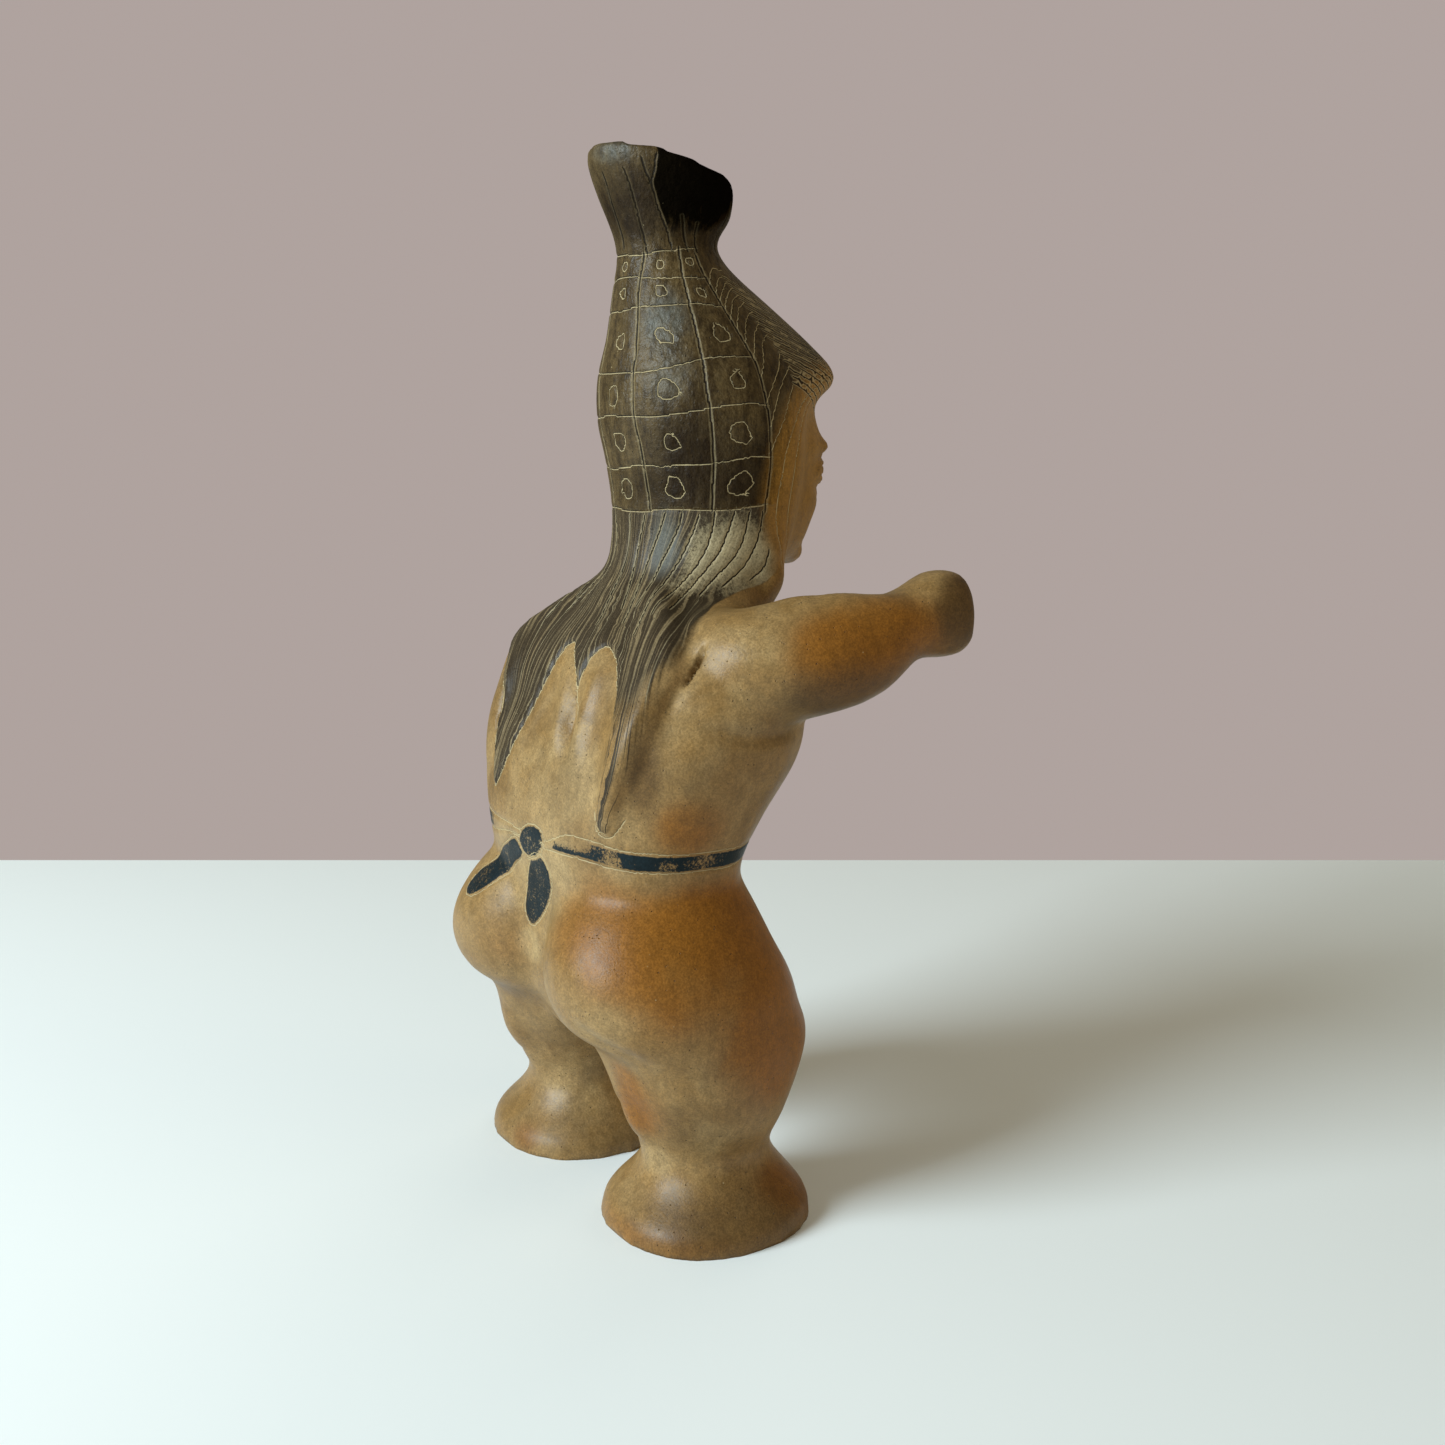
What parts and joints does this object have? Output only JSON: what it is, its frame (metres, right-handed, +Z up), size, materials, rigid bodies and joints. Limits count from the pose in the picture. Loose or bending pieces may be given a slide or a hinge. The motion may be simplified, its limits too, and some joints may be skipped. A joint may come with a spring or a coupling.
{
  "type": "figural clay vase",
  "caption": "Hollow clay vase in the form of a standing figure with a tall spouted headdress, arms held forward and short legs on flared feet.",
  "frame": {"origin": "on the ground under both feet, at the middle of the figure's box across and front to back", "axes": "+Z up along the standing figure, -Y the way the figure faces and holds out its arms, -X its right-hand side"},
  "size_m": [0.1795, 0.1372, 0.3595],
  "materials": {
    "burnished_clay": "burnished low-fired clay, tan-brown with ruddy and sooty patches, black painted hair and a blue-black belt, fine pale incised lines"
  },
  "bodies": {
    "root": {"figural_vase": "burnished_clay"}
  },
  "joints": []
}
